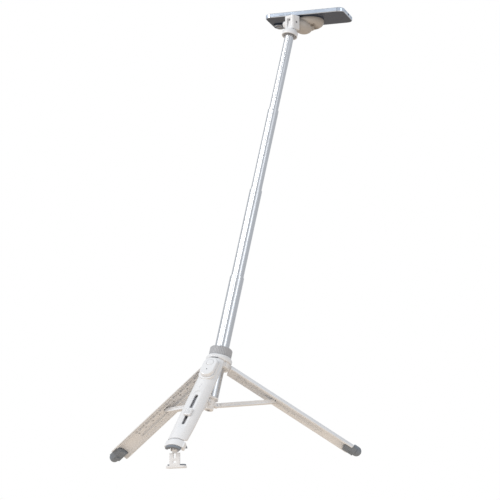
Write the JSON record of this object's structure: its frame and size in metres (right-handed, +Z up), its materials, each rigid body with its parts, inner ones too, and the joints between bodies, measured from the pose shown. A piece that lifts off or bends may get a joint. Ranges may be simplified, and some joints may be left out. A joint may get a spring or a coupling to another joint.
{
  "type": "telescopic phone stand with table clamp",
  "caption": "Slanting telescopic mast on a folding three-legged table clamp, holding a phone flat on a round magnetic tilt head.",
  "frame": {"origin": "middle of the clamp on the top edge of the table: table top at Z = 0, its edge face at Y = 0", "axes": "+Z up out of the table top, +Y in over the table, +X along its edge to the right seen from outside"},
  "size_m": [0.4362, 0.4083, 0.8371],
  "materials": {
    "white": "satin",
    "gloss_white": "gloss",
    "ring_grey": "satin",
    "anodised": "satin",
    "dark": "matte",
    "steel": "brushed",
    "rubber": "matte",
    "blue_metal": "satin",
    "blue_glass": "gloss",
    "black_gloss": "gloss",
    "lens_glass": "gloss"
  },
  "bodies": {
    "hub": {"hub_body": "white", "mast_collet": "dark", "leg_pins": "steel", "tube_1": "anodised", "lower_hub": "white", "strut_pins": "steel", "lower_hub_screw": "steel"},
    "ring": {"lock_ring": "ring_grey"},
    "clamp_leg": {"clamp_leg_shell": "white", "clamp_leg_liner": "white", "clamp_foot_cap": "white", "clamp_foot_nose": "rubber", "heel_pads": "rubber", "remote_case": "gloss_white", "remote_cell": "steel", "remote_light": "black_gloss"},
    "right_leg": {"right_leg_shell": "white", "right_leg_rail": "white", "right_foot": "rubber"},
    "left_leg": {"left_leg_shell": "white", "left_leg_rail": "white", "left_foot": "rubber"},
    "front_strut_arm": {"front_strut": "white", "front_strut_roller": "steel"},
    "right_strut_arm": {"right_strut": "white", "right_strut_roller": "steel"},
    "left_strut_arm": {"left_strut": "white", "left_strut_roller": "steel"},
    "remote_key": {"remote_button": "gloss_white"},
    "slider": {"lock_slider": "gloss_white", "hook_carriage": "steel", "hook_pin": "steel"},
    "hook": {"hook_strap": "white", "hook_pad": "rubber"},
    "second_tube": {"tube_2": "anodised", "tube_2_bush": "dark"},
    "third_tube": {"tube_3": "anodised", "tube_3_bush": "dark"},
    "fourth_tube": {"tube_4": "anodised", "tube_4_bush": "dark"},
    "pan_cap": {"head_cap": "white"},
    "tilt_head": {"head_block": "white", "tilt_bolt": "steel", "puck_arm": "white"},
    "knob": {"tilt_knob": "gloss_white"},
    "puck": {"puck_shell": "white", "puck_magnets": "steel", "puck_pad": "rubber"},
    "phone": {"phone_band": "blue_metal", "phone_back": "blue_glass", "phone_screen": "black_gloss", "phone_battery": "dark", "camera_plate": "blue_glass", "lens_rings": "blue_metal", "lens_glasses": "lens_glass", "flash_window": "gloss_white"},
    "power_key": {"power_button": "blue_metal"},
    "volume_up_key": {"volume_up": "blue_metal"},
    "volume_down_key": {"volume_down": "blue_metal"}
  },
  "joints": [
    {"name": "ring_turn", "type": "hinge", "parent": "hub", "child": "ring", "pos_m": [0.00838, 0.13952, 0.16833], "axis": [0.0894, 0.2625, 0.9608], "range_deg": [0, 90]},
    {"name": "clamp_leg_open", "type": "hinge", "parent": "hub", "child": "clamp_leg", "pos_m": [0.00817, 0.11849, 0.15328], "axis": [-0.9914, -0.0693, 0.1112], "range_deg": [-24.9, 0]},
    {"name": "right_leg_open", "type": "hinge", "parent": "hub", "child": "right_leg", "pos_m": [0.01943, 0.14376, 0.14533], "axis": [0.6162, -0.7724, 0.1537], "range_deg": [-65.76, 0]},
    {"name": "left_leg_open", "type": "hinge", "parent": "hub", "child": "left_leg", "pos_m": [-0.00857, 0.1405, 0.14883], "axis": [0.3696, 0.887, -0.2767], "range_deg": [-51.28, 0]},
    {"name": "front_strut_open", "type": "hinge", "parent": "hub", "child": "front_strut_arm", "pos_m": [0.00156, 0.1048, 0.08582], "axis": [-0.9914, -0.0693, 0.1112], "range_deg": [-41.54, 0.01]},
    {"name": "right_strut_open", "type": "hinge", "parent": "hub", "child": "right_strut_arm", "pos_m": [0.00966, 0.12298, 0.0801], "axis": [0.6162, -0.7724, 0.1537], "range_deg": [-109.13, 0.01]},
    {"name": "left_strut_open", "type": "hinge", "parent": "hub", "child": "left_strut_arm", "pos_m": [-0.01048, 0.12064, 0.08261], "axis": [0.3696, 0.887, -0.2767], "range_deg": [-89.89, 0.01]},
    {"name": "remote_press", "type": "slide", "parent": "clamp_leg", "child": "remote_key", "axis": [-0.1245, 0.7624, -0.635], "range_m": [0, 0.0005], "stiffness_N_per_m": 400},
    {"name": "lock_slide", "type": "slide", "parent": "clamp_leg", "child": "slider", "axis": [-0.0407, -0.6433, -0.7645], "range_m": [-0.022, 0.018]},
    {"name": "hook_swing", "type": "hinge", "parent": "slider", "child": "hook", "pos_m": [-0.00085, -0.00215, -0.0024], "axis": [0.9914, 0.0693, -0.1112], "range_deg": [-40, 10]},
    {"name": "tube_2_slide", "type": "slide", "parent": "hub", "child": "second_tube", "axis": [0.0894, 0.2625, 0.9608], "range_m": [-0.155, 0]},
    {"name": "tube_3_slide", "type": "slide", "parent": "second_tube", "child": "third_tube", "axis": [0.0894, 0.2625, 0.9608], "range_m": [-0.145, 0]},
    {"name": "tube_4_slide", "type": "slide", "parent": "third_tube", "child": "fourth_tube", "axis": [0.0894, 0.2625, 0.9608], "range_m": [-0.138, 0]},
    {"name": "pan_turn", "type": "hinge", "parent": "fourth_tube", "child": "pan_cap", "pos_m": [0.06558, 0.30754, 0.78323], "axis": [0.0894, 0.2625, 0.9608], "continuous": true},
    {"name": "tilt_swing", "type": "hinge", "parent": "pan_cap", "child": "tilt_head", "pos_m": [0.06558, 0.30754, 0.78323], "axis": [0.9466, -0.3223, 0], "range_deg": [-16, 72]},
    {"name": "knob_turn", "type": "hinge", "parent": "tilt_head", "child": "knob", "pos_m": [0.06558, 0.30754, 0.78323], "axis": [-0.9466, 0.3223, 0], "range_deg": [-90, 90]},
    {"name": "puck_turn", "type": "hinge", "parent": "tilt_head", "child": "puck", "pos_m": [0.07976, 0.34919, 0.78323], "axis": [0, 0, 1], "continuous": true},
    {"name": "phone_lift", "type": "slide", "parent": "puck", "child": "phone", "axis": [0, 0, 1], "range_m": [0, 0.06]},
    {"name": "power_press", "type": "slide", "parent": "phone", "child": "power_key", "axis": [0.1392, -0.9903, 0], "range_m": [0, 0.00035], "stiffness_N_per_m": 600},
    {"name": "volume_up_press", "type": "slide", "parent": "phone", "child": "volume_up_key", "axis": [-0.1392, 0.9903, 0], "range_m": [0, 0.00035], "stiffness_N_per_m": 600},
    {"name": "volume_down_press", "type": "slide", "parent": "phone", "child": "volume_down_key", "axis": [-0.1392, 0.9903, 0], "range_m": [0, 0.00035], "stiffness_N_per_m": 600}
  ],
  "couplings": [
    {"joint": "front_strut_open", "follows": "clamp_leg_open", "ratio": 1.668},
    {"joint": "right_strut_open", "follows": "right_leg_open", "ratio": 1.5421},
    {"joint": "left_strut_open", "follows": "left_leg_open", "ratio": 1.5971}
  ]
}
